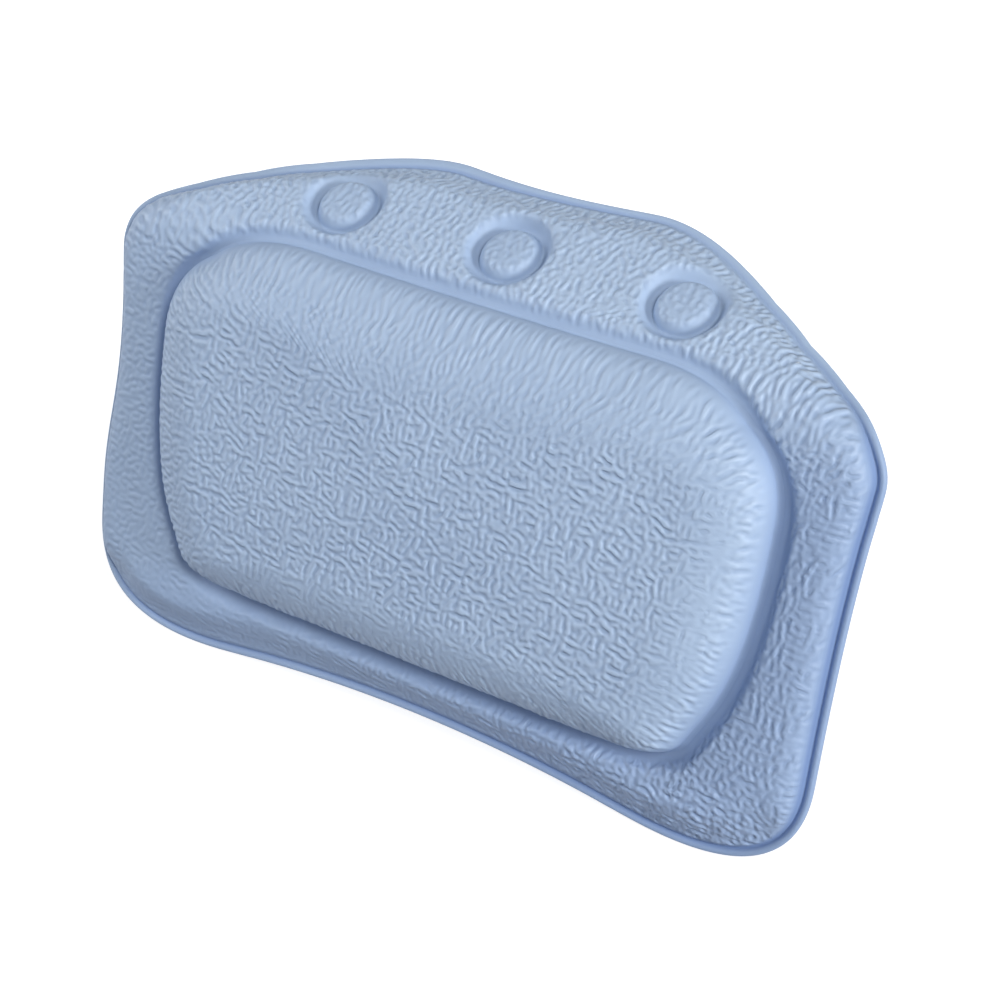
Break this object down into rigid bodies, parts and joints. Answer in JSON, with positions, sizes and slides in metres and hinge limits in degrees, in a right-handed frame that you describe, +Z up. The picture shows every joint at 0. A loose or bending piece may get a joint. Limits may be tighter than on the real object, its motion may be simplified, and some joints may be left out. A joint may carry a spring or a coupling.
{
  "type": "bath pillow",
  "caption": "Soft bath pillow with a raised neck pad, a puffed border and a leaning flap, held on a bath by suction cups behind dished buttons.",
  "frame": {"origin": "middle of the centre suction cup's seat, in the plane of its lip", "axes": "+X to the right as the user faces the pad, +Y backwards to the bath wall, +Z up"},
  "size_m": [0.3216, 0.0747, 0.2041],
  "materials": {
    "front_vinyl": "satin",
    "back_vinyl": "satin",
    "foam": "matte",
    "socket_vinyl": "satin",
    "clear_vinyl": "gloss"
  },
  "bodies": {
    "pillow": {"front_cover": "front_vinyl", "back_cover": "back_vinyl", "pad_filling": "foam", "border_padding": "foam", "cup_socket_left": "socket_vinyl", "cup_socket_centre": "socket_vinyl", "cup_socket_right": "socket_vinyl"},
    "cup_left": {"suction_cup_left": "clear_vinyl"},
    "cup_centre": {"suction_cup_centre": "clear_vinyl"},
    "cup_right": {"suction_cup_right": "clear_vinyl"}
  },
  "joints": [
    {"name": "cup_swivel_left", "type": "hinge", "parent": "pillow", "child": "cup_left", "pos_m": [-0.0715, 0, 0], "axis": [0, 0.6428, -0.766], "continuous": true},
    {"name": "cup_swivel_centre", "type": "hinge", "parent": "pillow", "child": "cup_centre", "pos_m": [0, 0, 0], "axis": [0, 0.6428, -0.766], "continuous": true},
    {"name": "cup_swivel_right", "type": "hinge", "parent": "pillow", "child": "cup_right", "pos_m": [0.0715, 0, 0], "axis": [0, 0.6428, -0.766], "continuous": true}
  ]
}
